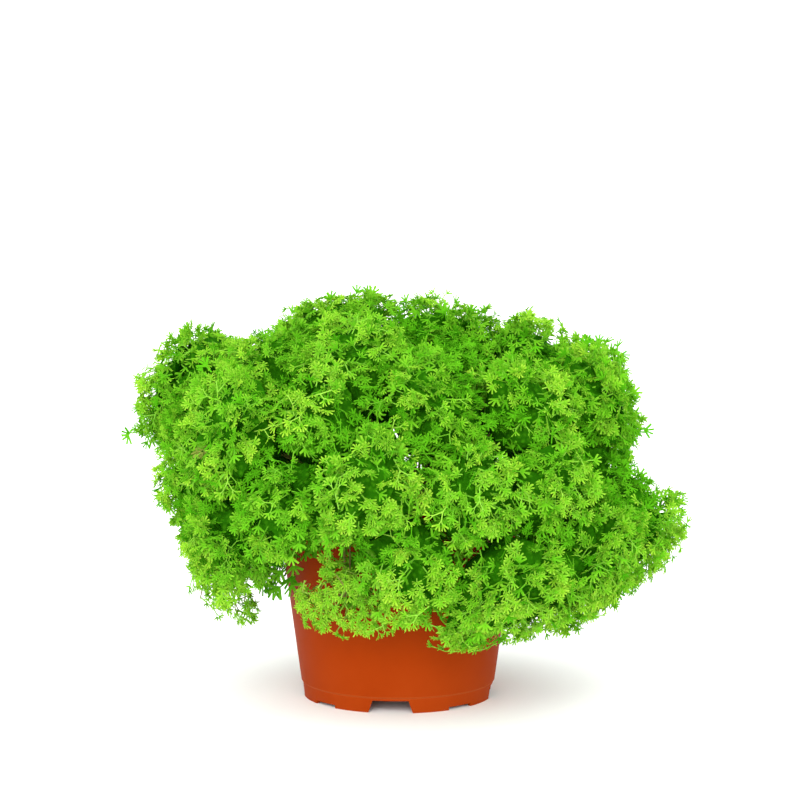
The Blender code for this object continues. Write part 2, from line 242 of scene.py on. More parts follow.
# The trailing sprays. One that hangs free of the pot is looser.
TRAIL_GAP = 4.6 * MM
FREE_GAP = 6.0 * MM
FREE_REACH = 75 * MM
TRAIL_LOWEST = 40 * MM
LONGEST_TWIG = 16 * MM
TRAIL_STEM = (0.36 * MM, 0.3 * MM)
OLD_STEM_SHARE = 0.4
OLD_STEM_AGE = 0.85
STEM_AGE = 0.25
TRAIL_SIZES = (0.8, 1.1)
TRAIL_TILTS = (10, 50)
TRAIL_TINTS = (0.4, 1)
TRAIL_SHADE = 0.3

# The inner leaves just outside the rim, under the skirt, darkened with painted shade, and the patch of wall
# left bare
FRINGE_OUT = 10 * MM
FRINGE_LOW = 60 * MM
FRINGE_HIGH = 100 * MM
FRINGE_GAP = 4.2 * MM
FRINGE_NEAR = 20 * MM
FRINGE_SIZE = 1.5
BARE_WALL = (math.radians(-136), math.radians(-112))
BARE_HEIGHTS = (57 * MM, 78 * MM)

# The stage
LIT_POINT = Vector((0, 0, 0.1))
SKY_STRENGTH = 1.72
PICTURE_SHIFT = 2 / 800


def length_field(name, description, default):
    return FloatProperty(name=name, description=description, default=default, unit="LENGTH")


def colour_field(name, description, default):
    return FloatVectorProperty(name=name, description=description, default=default, subtype="COLOR")


class SpikemossPotSettings(bpy.types.PropertyGroup):
    """Sizes and colours of the nursery pot."""

    height: length_field("Height", "Height of the pot from the floor to its rim", POT_HIGH.z)
    rim_radius: length_field(
        "Rim radius", "Outside radius of the band round the rim", (POT_HIGH.x - POT_LOW.x) / 2
    )
    foot_radius: length_field("Foot radius", "Outside radius of the foot ring", 45 * MM)
    foot_height: length_field("Foot height", "Height of the foot ring up to its ledge", 7.2 * MM)
    wall: length_field("Wall", "Thickness of the moulded wall", 1.4 * MM)
    colour: colour_field("Colour", "Main colour of the plastic", (0.285, 0.0315, 0.0009))
    shaded_colour: colour_field(
        "Shaded colour", "Colour of the plastic's darker patches", (0.255, 0.0275, 0.0008)
    )
    # The dust colour also paints the highlight along the pot's ledge.
    dust_and_highlight_colour: colour_field(
        "Dust colour", "Colour of the pale bloom low on the wall", (0.36, 0.07, 0.014)
    )


class SpikemossSoilSettings(bpy.types.PropertyGroup):
    """Size and colours of the peat."""

    lump: length_field("Lump", "Height of the lumps on the surface", 1.2 * MM)
    wet_colour: colour_field("Wet colour", "Colour of the damp peat", (0.012, 0.007, 0.004))
    dry_colour: colour_field(
        "Dry colour", "Colour of the dry crumbs and fibres", (0.085, 0.048, 0.026)
    )


class SpikemossLeafSettings(bpy.types.PropertyGroup):
    """Size and colours of the sprigs."""

    size: FloatProperty(
        name="Sprig size",
        description="Scale of a sprig, where 1 is about 11 mm from root to tip",
        default=1.0,
        min=0.3,
        max=3,
    )
    stem_colour: colour_field("Stem colour", "Colour of the fresh stems", (0.41, 0.74, 0.09))
    leaf_colour: colour_field(
        "Leaf colour", "Colour of the body of each leafy finger", (0.305, 0.635, 0.026)
    )
    tip_colour: colour_field("Tip colour", "Colour of the young tips", (0.43, 0.71, 0.064))
    # Painted shade: the deep colour darkens the leaves inside the mound, under others, in hollows and
    # between the fingers, and the gap colour paints the dark gaps on the inner sheet.
    leaf_shade_colour: colour_field(
        "Deep colour", "Colour of the leaves inside the mound", (0.128, 0.51, 0.01)
    )
    gap_shade_colour: colour_field(
        "Gap colour", "Colour of the dark gaps between the leaves inside the mound", (0.028, 0.19, 0.002)
    )
    old_stem_colour: colour_field(
        "Old stem colour", "Colour of the old stems low in the mound", (0.33, 0.22, 0.09)
    )


class SpikemossStageSettings(bpy.types.PropertyGroup):
    """The floor and the camera."""

    floor_radius: length_field("Floor radius", "Radius of the floor round the object", 4)
    floor_colour: colour_field("Floor colour", "Colour of the floor", (0.92, 0.92, 0.92))
    camera_distance: length_field(
        "Camera distance", "Distance of the camera from the middle of the pot's foot", 1.3
    )
    camera_elevation: FloatProperty(
        name="Camera elevation",
        description="Angle of the camera above the pot's foot",
        default=math.radians(12.5),
        subtype="ANGLE",
    )
    aim_height: length_field("Aim height", "Height on the pot's axis that the camera looks at", 0.1395)
    lens: FloatProperty(
        name="Lens", description="Focal length in millimetres", default=122.7, unit="CAMERA"
    )


def mesh_of(bm, name):
    """A mesh of everything in the bmesh, which is freed."""
    mesh = bpy.data.meshes.new(name)
    bm.to_mesh(mesh)
    bm.free()
    return mesh


def new_object(name, mesh):
    made = bpy.data.objects.new(name, mesh)
    bpy.context.scene.collection.objects.link(made)
    return made


def apply_modifiers(target):
    """Keeps what the object shows as its mesh."""
    graph = bpy.context.evaluated_depsgraph_get()
    old = target.data
    target.data = bpy.data.meshes.new_from_object(target.evaluated_get(graph))
    target.modifiers.clear()
    bpy.data.meshes.remove(old)


def finish_piece(piece, node, finish):
    """Gives a piece its material and fixes it to the frame in its node's place."""
    piece.data.materials.clear()
    piece.data.materials.append(finish)
    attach(piece, "root")
    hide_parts(node)


def new_material(name, roughness, specular):
    made = bpy.data.materials.new(name)
    made.use_nodes = True
    shader = made.node_tree.nodes["Principled BSDF"]
    shader.inputs["Roughness"].default_value = roughness
    shader.inputs["Specular IOR Level"].default_value = specular
    return made, made.node_tree, shader


def add_node(tree, kind, values=(), **settings):
    """A node with the named settings, and input sockets set from (socket, value) pairs."""
    node = tree.nodes.new(kind)
    for name, value in settings.items():
        setattr(node, name, value)
    for socket, value in values:
        node.inputs[socket].default_value = value
    return node


def link(tree, source, target):
    tree.links.new(source, target)


def mix_colours(tree, factor, first, second, blend="MIX"):
    """The two colours, which are sockets or plain colours, mixed by a socket or a number."""
    node = add_node(tree, "ShaderNodeMix", data_type="RGBA", blend_type=blend)
    for socket, value in ((node.inputs[0], factor), (node.inputs[6], first), (node.inputs[7], second)):
        if isinstance(value, bpy.types.NodeSocket):
            link(tree, value, socket)
        elif isinstance(value, float):
            socket.default_value = value
        else:
            socket.default_value = (*value, 1)
    return node.outputs[2]


def spread(tree, value, low, high, to_low=0.0, to_high=1.0):
    """A value from one range to another, clamped."""
    ranges = (("From Min", low), ("From Max", high), ("To Min", to_low), ("To Max", to_high))
    node = add_node(tree, "ShaderNodeMapRange", ranges)
    link(tree, value, node.inputs["Value"])
    return node.outputs["Result"]


def calculate(tree, operation, first, second=0.0):
    """The result of a Math node, from sockets or plain numbers."""
    node = add_node(tree, "ShaderNodeMath", operation=operation)
    for socket, value in zip(node.inputs, (first, second)):
        if isinstance(value, float):
            socket.default_value = value
        else:
            link(tree, value, socket)
    return node.outputs[0]


def mottle_group():
    """A shared pattern: soft patches and a fine grain, as two masks, and the height of the grain."""
    name = "Mottle and grain"
    if name in bpy.data.node_groups:
        return bpy.data.node_groups[name]
    group = bpy.data.node_groups.new(name, "ShaderNodeTree")
    for socket in ("Patch scale", "Grain scale", "Contrast"):
        group.interface.new_socket(socket, in_out="INPUT", socket_type="NodeSocketFloat")
    for socket in ("Patches", "Grain", "Height"):
        group.interface.new_socket(socket, in_out="OUTPUT", socket_type="NodeSocketFloat")
    given = group.nodes.new("NodeGroupInput").outputs
    result = group.nodes.new("NodeGroupOutput").inputs
    place = group.nodes.new("ShaderNodeTexCoord").outputs["Object"]
    patches = add_node(group, "ShaderNodeTexNoise", (("Detail", 4.0), ("Roughness", 0.6)))
    grain = add_node(group, "ShaderNodeTexVoronoi", (("Randomness", 1.0),))
    fine = add_node(group, "ShaderNodeTexNoise", (("Detail", 2.0),))
    for pattern, scale in ((patches, "Patch scale"), (grain, "Grain scale"), (fine, "Grain scale")):
        link(group, place, pattern.inputs["Vector"])
        link(group, given[scale], pattern.inputs["Scale"])
    masked = add_node(group, "ShaderNodeMapRange")
    link(group, patches.outputs[0], masked.inputs["Value"])
    link(group, calculate(group, "SUBTRACT", 0.5, given["Contrast"]), masked.inputs["From Min"])
    link(group, calculate(group, "ADD", 0.5, given["Contrast"]), masked.inputs["From Max"])
    link(group, masked.outputs["Result"], result["Patches"])
    link(group, fine.outputs[0], result["Grain"])
    link(group, grain.outputs["Distance"], result["Height"])
    return group


def add_mottle(tree, patch_scale, grain_scale, contrast):
    values = (("Patch scale", patch_scale), ("Grain scale", grain_scale), ("Contrast", contrast))
    return add_node(tree, "ShaderNodeGroup", values, node_tree=mottle_group())


def add_bump(tree, shader, height, strength, distance):
    bump = add_node(tree, "ShaderNodeBump", (("Strength", strength), ("Distance", distance)))
    link(tree, height, bump.inputs["Height"])
    link(tree, bump.outputs["Normal"], shader.inputs["Normal"])


def pot_plastic(pot):
    """Moulded plastic: satin, softly mottled and finely grained, with a pale bloom of dust low on the wall
    and a painted highlight along the ledge, a pale line for the light catching its edge."""
    made, tree, shader = new_material("pot plastic", 0.5, 0.03)
    mottle = add_mottle(tree, 26.0, 1500.0, 0.22)
    patches = mottle.outputs["Patches"]
    base = mix_colours(tree, patches, pot.shaded_colour, pot.colour)
    place = tree.nodes.new("ShaderNodeTexCoord")
    parts = add_node(tree, "ShaderNodeSeparateXYZ")
    link(tree, place.outputs["Object"], parts.inputs[0])
    height = parts.outputs["Z"]
    bloom = calculate(tree, "MULTIPLY", spread(tree, height, 0.0, 26 * MM, 0.22, 0.0), patches)
    dusty = mix_colours(tree, bloom, base, pot.dust_and_highlight_colour)
    # Painted highlight: a pale line along the ledge, where light catches its edge, in the dust's colour.
    from_ledge = calculate(tree, "ABSOLUTE", calculate(tree, "SUBTRACT", height, pot.foot_height))
    ledge_highlight = spread(tree, from_ledge, 0.2 * MM, 0.7 * MM, 0.6, 0.0)
    link(tree, mix_colours(tree, ledge_highlight, dusty, pot.dust_and_highlight_colour), shader.inputs["Base Color"])
    link(tree, spread(tree, patches, 0.0, 1.0, 0.5, 0.62), shader.inputs["Roughness"])
    add_bump(tree, shader, mottle.outputs["Grain"], 0.12, 0.08 * MM)
    return made


def peat(soil):
    """Peat: damp dark body, dry crumbs and fibres."""
    made, tree, shader = new_material("peat", 0.95, 0.2)
    mottle = add_mottle(tree, 160.0, 700.0, 0.18)
    body = mix_colours(tree, mottle.outputs["Patches"], soil.wet_colour, soil.dry_colour)
    flecks = spread(tree, mottle.outputs["Grain"], 0.52, 0.7)
    colour = mix_colours(tree, flecks, body, soil.dry_colour)
    link(tree, colour, shader.inputs["Base Color"])
    add_bump(tree, shader, mottle.outputs["Height"], 0.8, 0.6 * MM)
    return made


def growth_value(tree, name):
    return add_node(tree, "ShaderNodeAttribute", attribute_name=name).outputs["Fac"]


def foliage(leaf):
    """Leaves that let some light through. The stems are pale and the tips young and bright. Painted shade
    makes the hubs and the cuts between the fingers, the sprigs under others or in the hollows, and the
    leaves inside the mound deep green, with a leafy pattern of painted dark gaps on the inner sheet. Old
    stems low in the mound are tan."""
    made, tree, shader = new_material("foliage", 0.7, 0.02)
    tip = growth_value(tree, "tip")
    body = mix_colours(tree, spread(tree, tip, 0.15, 0.4), leaf.stem_colour, leaf.leaf_colour)
    fresh = mix_colours(tree, spread(tree, tip, 0.45, 1.0), body, leaf.tip_colour)
    tint = growth_value(tree, "tint")
    light = add_node(tree, "ShaderNodeHueSaturation")
    link(tree, fresh, light.inputs["Color"])
    link(tree, spread(tree, tint, 0.0, 1.0, 0.51, 0.488), light.inputs["Hue"])
    link(tree, spread(tree, tint, 0.0, 1.0, 0.92, 1.08), light.inputs["Value"])
    broad = add_mottle(tree, 24.0, 380.0, 0.2)
    patchy = spread(tree, broad.outputs["Patches"], 0.0, 1.0, 0.0, 0.12)
    mottled = mix_colours(tree, patchy, light.outputs[0], leaf.leaf_colour, "MULTIPLY")
    # Painted shade between the fingers: the hub and the cuts of each hand darken towards the deep colour.
    between = spread(tree, growth_value(tree, "between"), 0.25, 1.0, 0.0, 0.45)
    finger_gap_shaded = mix_colours(tree, between, mottled, leaf.leaf_shade_colour)
    # Painted shade: the shade value darkens sprigs under others and in hollows towards the deep colour, and
    # the inner sheet towards a leafy pattern of painted dark gaps.
    shade = growth_value(tree, "shade")
    darker = mix_colours(tree, spread(tree, shade, 0.0, 0.8), finger_gap_shaded, leaf.leaf_shade_colour)
    leafy = spread(tree, broad.outputs["Height"], 0.1, 0.5, 0.55, 1.0)
    packed = mix_colours(tree, leafy, leaf.leaf_shade_colour, leaf.gap_shade_colour)
    shaded = mix_colours(tree, spread(tree, shade, 0.8, 1.0), darker, packed)
    aged = mix_colours(tree, growth_value(tree, "age"), shaded, leaf.old_stem_colour)
    link(tree, aged, shader.inputs["Base Color"])
    fine = add_mottle(tree, 24.0, 1300.0, 0.2)
    add_bump(tree, shader, fine.outputs["Height"], 0.35, 0.12 * MM)
    through = tree.nodes.new("ShaderNodeBsdfTranslucent")
    link(tree, aged, through.inputs["Color"])
    both = add_node(tree, "ShaderNodeMixShader", ((0, SEE_THROUGH),))
    link(tree, shader.outputs[0], both.inputs[1])
    link(tree, through.outputs[0], both.inputs[2])
    link(tree, both.outputs[0], tree.nodes["Material Output"].inputs["Surface"])
    return made


def pot_radius(pot, height):
    """The outside radius of the pot's wall at a height."""
    return pot.foot_radius + LEDGE + (height - pot.foot_height) * WALL_TAPER


def outer_radius(pot, height):
    """The outside radius of the pot at a height, with its band."""
    return pot.rim_radius if height > pot.height - BAND_ROOM else pot_radius(pot, height)


def floor_underside(pot):
    return pot.foot_height - FLOOR_DROP


def pot_section(pot):
    """The pot's section, down the outside from the rim, under the floor and up the inside."""
    band_foot = pot.height - BAND_HEIGHT
    wall_top = band_foot - BAND_SLOPE
    foot = pot.foot_radius
    floor_under = floor_underside(pot)
    floor_top = floor_under + pot.wall
    return (
        (pot.rim_radius - LIP_ROUND, pot.height),
        (pot.rim_radius, pot.height - LIP_EDGE),
        (pot.rim_radius - BAND_LEAN, band_foot),
        (pot_radius(pot, wall_top), wall_top),
        (pot_radius(pot, pot.foot_height), pot.foot_height + LEDGE_SLOPE),
        (foot, pot.foot_height - LEDGE_SLOPE),
        (foot - FOOT_LEAN, 0),
        (foot - SOLE_INSIDE, 0),
        (foot - RING_WALL, floor_under),
        (0, floor_under),
        (0, floor_top),
        (pot_radius(pot, floor_top) - pot.wall, floor_top),
        (pot_radius(pot, wall_top) - pot.wall, band_foot),
        (pot.rim_radius - BAND_LEAN - pot.wall, pot.height - LIP_EDGE),
    )


def turned(section, steps):
    """A section of (radius, height) points, spun round the Z axis into a closed body."""
    bm = bmesh.new()
    ring = [bm.verts.new((radius, 0, height)) for radius, height in section]
    edges = []
    for start, end in zip(ring, ring[1:] + ring[:1]):
        if start.co.x > 0 or end.co.x > 0:
            edges.append(bm.edges.new((start, end)))
    bmesh.ops.spin(
        bm, geom=[*ring, *edges], cent=(0, 0, 0), axis=(0, 0, 1), angle=math.tau, steps=steps, use_merge=True
    )
    bmesh.ops.remove_doubles(bm, verts=bm.verts, dist=0.001 * MM)
    bmesh.ops.recalc_face_normals(bm, faces=bm.faces)
    return bm


def foot_cutter(pot, size, azimuth):
    """A block with sloped ends that opens a gap in the foot ring."""
    width, top_width, height = size
    below = 3 * MM
    depth = 8 * MM
    bm = bmesh.new()
    bmesh.ops.create_cube(bm, size=1)
    for corner in bm.verts:
        top = corner.co.z > 0
        across = top_width if top else width + (width - top_width) * below / height
        corner.co.x *= depth
        corner.co.y = math.copysign(across / 2, corner.co.y)
        corner.co.z = height if top else -below
    place = Matrix.Rotation(azimuth, 4, "Z") @ Matrix.Translation((pot.foot_radius, 0, 0))
    bmesh.ops.transform(bm, matrix=place, verts=bm.verts)
    return new_object("foot cutter", mesh_of(bm, "foot cutter"))


def drain_cutter(pot, azimuth):
    bm = bmesh.new()
    bmesh.ops.create_cone(
        bm, cap_ends=True, segments=32, radius1=DRAIN_RADIUS, radius2=DRAIN_RADIUS, depth=6 * MM
    )
    place = Vector((math.cos(azimuth), math.sin(azimuth), 0)) * DRAIN_CIRCLE
    place.z = floor_underside(pot) + pot.wall / 2
    bmesh.ops.translate(bm, verts=bm.verts, vec=place)
    return new_object("drain cutter", mesh_of(bm, "drain cutter"))


def make_pot_body(pot):
    """The pot, turned, cut and with its edges rounded."""
    made = new_object("nursery_pot", mesh_of(turned(pot_section(pot), POT_STEPS), "nursery_pot"))
    cutters = []
    turn = math.tau / NOTCH_COUNT
    for index in range(NOTCH_COUNT):
        azimuth = NOTCH_AZIMUTH + index * turn
        cutters.append(foot_cutter(pot, NOTCH_SIZE, azimuth))
        cutters.append(foot_cutter(pot, RECESS_SIZE, azimuth + turn / 2))
        cutters.append(drain_cutter(pot, azimuth))
    for cutter in cutters:
        cut = made.modifiers.new("Cut", "BOOLEAN")
        cut.operation = "DIFFERENCE"
        cut.solver = "EXACT"
        cut.object = cutter
    rounded = made.modifiers.new("Round", "BEVEL")
    rounded.width = 0.32 * MM
    rounded.segments = 2
    rounded.limit_method = "ANGLE"
    rounded.angle_limit = math.radians(24)
    apply_modifiers(made)
    for cutter in cutters:
        bpy.data.objects.remove(cutter)
    made.data.shade_smooth()
    made.data.set_sharp_from_angle(angle=math.radians(40))
    return made


def soil_rise(point, share, lump):
    """How far the crown and the lumps lift the soil at a point, a share of the way out."""
    broad = noise.noise(point * 90)
    fine = noise.noise(point * 330)
    return SOIL_CROWN * (1 - share**2) + lump * (broad + 0.5 * fine)


def make_soil_body(pot, soil):
    """The body of peat with a lumpy top and loose crumbs on it."""
    low = SOIL_LOW.z
    top_radius = pot_radius(pot, SOIL_LEVEL) - pot.wall - SOIL_TOP_ROOM
    foot_radius = pot_radius(pot, low) - pot.wall - SOIL_FOOT_ROOM
    section = [(0, low), (foot_radius, low), (top_radius, SOIL_LEVEL)]
    for ring in range(1, SOIL_RINGS + 1):
        section.append((top_radius * (1 - ring / SOIL_RINGS), SOIL_LEVEL))
    bm = turned(section, SOIL_STEPS)
    for corner in bm.verts:
        if corner.co.z > SOIL_LEVEL - MM:
            corner.co.z += soil_rise(corner.co, corner.co.xy.length / top_radius, soil.lump)
    draw = random.Random(f"{SEED} crumbs")
    for _ in range(CRUMB_COUNT):
        reach = top_radius * CRUMB_REACH * math.sqrt(draw.random())
        turn = draw.uniform(0, math.tau)
        spot = Vector((reach * math.cos(turn), reach * math.sin(turn), SOIL_LEVEL))
        spot.z += soil_rise(spot, reach / top_radius, soil.lump)
        size = draw.uniform(*CRUMB_SIZES) * MM
        place = Matrix.Translation(spot) @ Matrix.Rotation(draw.uniform(0, 3), 4, "X")
        place = place @ Matrix.Diagonal(CRUMB_SHAPE)
        bmesh.ops.create_icosphere(bm, subdivisions=1, radius=size, matrix=place)
    made = new_object("peat_soil", mesh_of(bm, "peat_soil"))
    made.data.shade_smooth()
    return made


def growth_layers(bm):
    """The values that the foliage's material reads, kept at each corner."""
    return {name: bm.verts.layers.float.new(name) for name in GROWTH}


def hand_outline(fingers):
    """The outline of a hand round its hub, as (degrees, reach) points. Each finger is its
    (degrees, reach) tip, which is blunt, and neighbours part at a cut midway between them."""
    outline = []
    for index, (angle, reach) in enumerate(fingers):
        if index:
            outline.append(((fingers[index - 1][0] + angle) / 2, CUT_REACH))
        outline += [(angle - BLUNT, reach * BLUNT_REACH), (angle + BLUNT, reach)]
    outline.append(((fingers[0][0] + fingers[-1][0]) / 2 + 180, PALM_REACH))
    return outline


def add_hand(bm, layers, hub, along, up, fingers, length):
    """A flat hand of narrow fingers: a thin lens, arched a little."""
    side = up.cross(along)
    outline = hand_outline(fingers)
    made = bmesh.ops.create_uvsphere(bm, u_segments=len(outline), v_segments=2, radius=1)
    for corner in made["verts"]:
        if abs(corner.co.z) > 0.5:
            reach = HUB_REACH
            flat = along * (reach * length)
            lift = math.copysign(HAND_THICKNESS / 2, corner.co.z)
        else:
            turn = math.atan2(corner.co.y, corner.co.x)
            angle, reach = outline[round(turn / math.tau * len(outline)) % len(outline)]
            way = math.radians(angle)
            flat = (along * math.cos(way) + side * math.sin(way)) * (reach * length)
            lift = -HAND_ARCH * length * reach**2
        corner.co = hub + flat + up * lift
        corner[layers["tip"]] = HUB_TIP + (1 - HUB_TIP) * reach
        # Painted shade: the hub and the cuts between the fingers are marked to be darkened in the foliage.
        corner[layers["between"]] = 0.0 if reach > CUT_REACH else 1.0


def add_twig(bm, layers, start, end, thick, thin, sides=TWIG_SIDES):
    """A thin stem from one point to another."""
    run = end - start
    place = Matrix.Translation((start + end) / 2) @ run.to_track_quat("Z", "X").to_matrix().to_4x4()
    made = bmesh.ops.create_cone(
        bm, cap_ends=True, segments=sides, radius1=thick, radius2=thin, depth=run.length, matrix=place
    )
    for corner in made["verts"]:
        corner[layers["tip"]] = TWIG_TIP


def heading(angle, lift):
    """A unit vector turned round Z from +X, and lifted out of the XY plane, in degrees."""
    turn = math.radians(angle)
    rise = math.radians(lift)
    return Vector((math.cos(turn) * math.cos(rise), math.sin(turn) * math.cos(rise), math.sin(rise)))


def add_leafy_end(bm, layers, draw, hub, angle, count, length):
    """A hand with a number of fingers near one direction, with its own lift and roll."""
    along = heading(angle + draw.uniform(-HAND_TURN, HAND_TURN), draw.uniform(*HAND_LIFTS))
    up = (Vector((0, 0, 1)) - along * along.z).normalized()
    up.rotate(Matrix.Rotation(math.radians(draw.uniform(-HAND_ROLL, HAND_ROLL)), 3, along))
    middle = (count - 1) / 2
    step = draw.uniform(*FINGER_STEPS)
    fingers = []
    for index in range(count):
        turned_by = (index - middle) * step + draw.uniform(-FINGER_TURN, FINGER_TURN)
        fingers.append((turned_by, draw.uniform(*FINGER_REACHES)))
    add_hand(bm, layers, hub, along, up, fingers, length)


def sprig_mesh(draw, name):
    """A flat fan: a stem that forks in two, with leafy hands on its ends, arms and sides."""
    bm = bmesh.new()
    layers = growth_layers(bm)
    fork = Vector((4.4, draw.uniform(-0.4, 0.4), draw.uniform(0.2, 0.8)))
    add_twig(bm, layers, Vector((0, 0, -0.6)), fork, *SPRIG_STEM[:2])
    add_leafy_end(bm, layers, draw, fork, 0, 3, 2.8)
    for way in (-1, 1):
        add_leafy_end(bm, layers, draw, fork * 0.55, 64 * way, 3, 2.7)
        angle = way * draw.uniform(28, 38)
        arm = fork + heading(angle, draw.uniform(-10, 8)) * draw.uniform(2.9, 3.9)
        add_twig(bm, layers, fork, arm, *SPRIG_STEM[1:])
        add_leafy_end(bm, layers, draw, fork.lerp(arm, 0.45), angle + 56 * way, 3, 2.7)
        add_leafy_end(bm, layers, draw, fork.lerp(arm, 0.75), angle - 62 * way, 3, 2.4)
        for turn in (-34, 34):
            add_leafy_end(bm, layers, draw, arm, angle + turn, 3, 2.8)
    return mesh_of(bm, name)


def runner_mesh(draw, name):
    """A pale stem that forks twice, with a few small fingers: the network between the sprigs."""
    bm = bmesh.new()
    layers = growth_layers(bm)
    fork = Vector((6.8, draw.uniform(-0.8, 0.8), draw.uniform(0.6, 1.6)))
    add_twig(bm, layers, Vector((0, 0, -1)), fork, *RUNNER_STEM[:2])
    add_leafy_end(bm, layers, draw, fork * 0.5, draw.choice((-58, 58)), 3, 2.8)
    for way in (-1, 1):
        angle = way * draw.uniform(26, 42)
        arm = fork + heading(angle, draw.uniform(-8, 8)) * draw.uniform(3.4, 4.6)
        add_twig(bm, layers, fork, arm, *RUNNER_STEM[1:3])
        for turn in (-26 * way, 24 * way):
            end = arm + heading(angle + turn, draw.uniform(-8, 8)) * draw.uniform(1.4, 2.2)
            add_twig(bm, layers, arm, end, *RUNNER_STEM[2:])
            add_leafy_end(bm, layers, draw, end, angle + turn, 3, 2.7)
    return mesh_of(bm, name)


def under_mesh(draw, name):
    """A plainer sprig for the inner leaves: one short stem with a broad hand."""
    bm = bmesh.new()
    layers = growth_layers(bm)
    hub = Vector((3.6, 0, 0.3))
    add_twig(bm, layers, Vector((0, 0, -0.6)), hub, *UNDER_STEM)
    add_leafy_end(bm, layers, draw, hub, 0, 4, 3.7)
    return mesh_of(bm, name)


def sprig_kinds():
    """A few different sprigs of each sort, which are copied all over the mound."""
    makers = {"sprig": sprig_mesh, "runner": runner_mesh, "under": under_mesh}
    kinds = {sort: [] for sort in makers}
    for sort, make in makers.items():
        for index in range(KIND_COUNTS[sort]):
            draw = random.Random(f"{SEED} {sort} {index}")
            kinds[sort].append(make(draw, f"{sort} {index}"))
    return kinds


def stamp(bm, template, place, tint, shade, age):
    """Adds a placed copy of a template, with the copy's own colour values."""
    copy = template.copy()
    copy.transform(place)
    for name, value in (("tint", tint), ("shade", shade), ("age", age)):
        copy.attributes[name].data.foreach_set("value", [value] * len(copy.vertices))
    bm.from_mesh(copy)
    bpy.data.meshes.remove(copy)


def mean(points):
    return sum(points, Vector()) / len(points)


class Lobe:
    """One spray's share of the mound, as its CAD node gives it: the foot of its stem, its middle
    and the outline that its leaves fill."""

    def __init__(self, node):
        self.node = node
        self.tier = node.split("_")[1]
        found = {tuple(round(part, 6) for part in corner.co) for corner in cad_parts[node].data.vertices}
        points = [Vector(point) for point in sorted(found)]
        in_soil = [point for point in points if point.xy.length < SOIL_HIGH.x]
        lowest = min(point.z for point in in_soil)
        self.foot = mean([point for point in in_soil if point.z < lowest + MM])
        self.middle = mean(points)
        for _ in range(3):
            near = [point for point in points if (point - self.middle).length < LOBE_REACH]
            self.middle = mean(near)
        self.route = self.stem_route()
        stem = self.route[:-1]
        self.outline = hull_of([p for p in near if all((p - q).length > STEM_PATCH for q in stem)])
        self.draw = random.Random(f"{SEED} {node}")
        self.places = []
        self.under_places = []

    def stem_route(self):
        """Points from the soil to the middle, clear of the pot's rim."""
        out = Vector((self.foot.x, self.foot.y, 0)).normalized()
        above_soil = Vector((self.foot.x, self.foot.y, SOIL_LEVEL + SOIL_CROWN + OVER_SOIL))
        over_rim = POT_HIGH.z + RIM_CLEARANCE
        if self.tier in ("skirt", "trailing"):
            inside = out * (POT_HIGH.x - RIM_INSIDE) + Vector((0, 0, over_rim - RIM_RISE))
            outside = out * (POT_HIGH.x + RIM_OUTSIDE) + Vector((0, 0, over_rim + RIM_RISE))
            return [self.foot, above_soil, inside, outside, self.middle]
        knee = self.foot.lerp(self.middle, KNEE_OUT)
        knee.z = max(over_rim + KNEE_RISE, above_soil.lerp(self.middle, KNEE_UP).z)
        return [self.foot, above_soil, knee, self.middle]


def hull_of(points):
    """The tight hull of the points."""
    bm = bmesh.new()
    for point in points:
        bm.verts.new(point)
    made = bmesh.ops.convex_hull(bm, input=bm.verts)
    spare = {g for key in ("geom_interior", "geom_unused") for g in made[key]}
    bmesh.ops.delete(bm, geom=[g for g in spare if isinstance(g, bmesh.types.BMVert)], context="VERTS")
    bmesh.ops.triangulate(bm, faces=bm.faces)
    bmesh.ops.recalc_face_normals(bm, faces=bm.faces)
    bm.faces.ensure_lookup_table()
    return bm


def mound_of(lobes):
    """The outlines of the lobes in one tree, and the lobe that each of its faces is from."""
    bm = bmesh.new()
    owners = []
    for lobe in lobes:
        mesh = bpy.data.meshes.new("outline")
        lobe.outline.to_mesh(mesh)
        bm.from_mesh(mesh)
        owners += [lobe] * len(mesh.polygons)
        bpy.data.meshes.remove(mesh)
    tree = BVHTree.FromBMesh(bm)
    bm.free()
    return tree, owners


def filled(levels, near, steps):
    """The levels with the valleys between them filled, where near lists each level's neighbours."""
    for pick in [max] * steps + [min] * steps:
        levels = [pick(levels[index] for index in around) for around in near]
    return levels


def shaping(way):
    """How far the skin moves out in that direction, to follow the real mound's outline."""
    total = 0.0
    for azimuth, elevation, width, distance in SHAPING:
        angle = math.degrees(way.angle(heading(azimuth, elevation)))
        total += distance * math.exp(-((angle / width) ** 2))
    return total


def skin_of(mound):
    """The skin of the mound round its middle, with the narrow valleys between its lobes filled in part, so
    that the sprigs of neighbouring lobes meet. Each corner keeps how hollow it lies, for the painted shade
    in the hollows."""
    bm = bmesh.new()
    bmesh.ops.create_icosphere(bm, subdivisions=6, radius=1)
    reach = []
    for corner in bm.verts:
        hit = mound.ray_cast(MOUND_MIDDLE + corner.co * FAR_OUT, -corner.co)
        reach.append(FAR_OUT - hit[3] if hit[0] else 0.0)
    near = []
    for corner in bm.verts:
        near.append([corner.index, *(edge.other_vert(corner).index for edge in corner.link_edges)])
    closed = filled(reach, near, VALLEY_STEPS)
    level = [max(own, full - VALLEY_DEPTH) for own, full in zip(reach, closed)]
    level = [distance + shaping(corner.co) for corner, distance in zip(bm.verts, level)]
    hollow = bm.verts.layers.float.new("hollow")
    for corner, distance, full in zip(bm.verts, level, filled(level, near, HOLLOW_STEPS)):
        corner.co = MOUND_MIDDLE + corner.co * distance
        corner[hollow] = min((full - distance) / HOLLOW_DEPTH, 1.0)
    bare = [corner for corner, distance in zip(bm.verts, closed) if distance < LEAST_REACH]
    bmesh.ops.delete(bm, geom=bare, context="VERTS")
    bm.normal_update()
    bm.faces.index_update()
    return bm


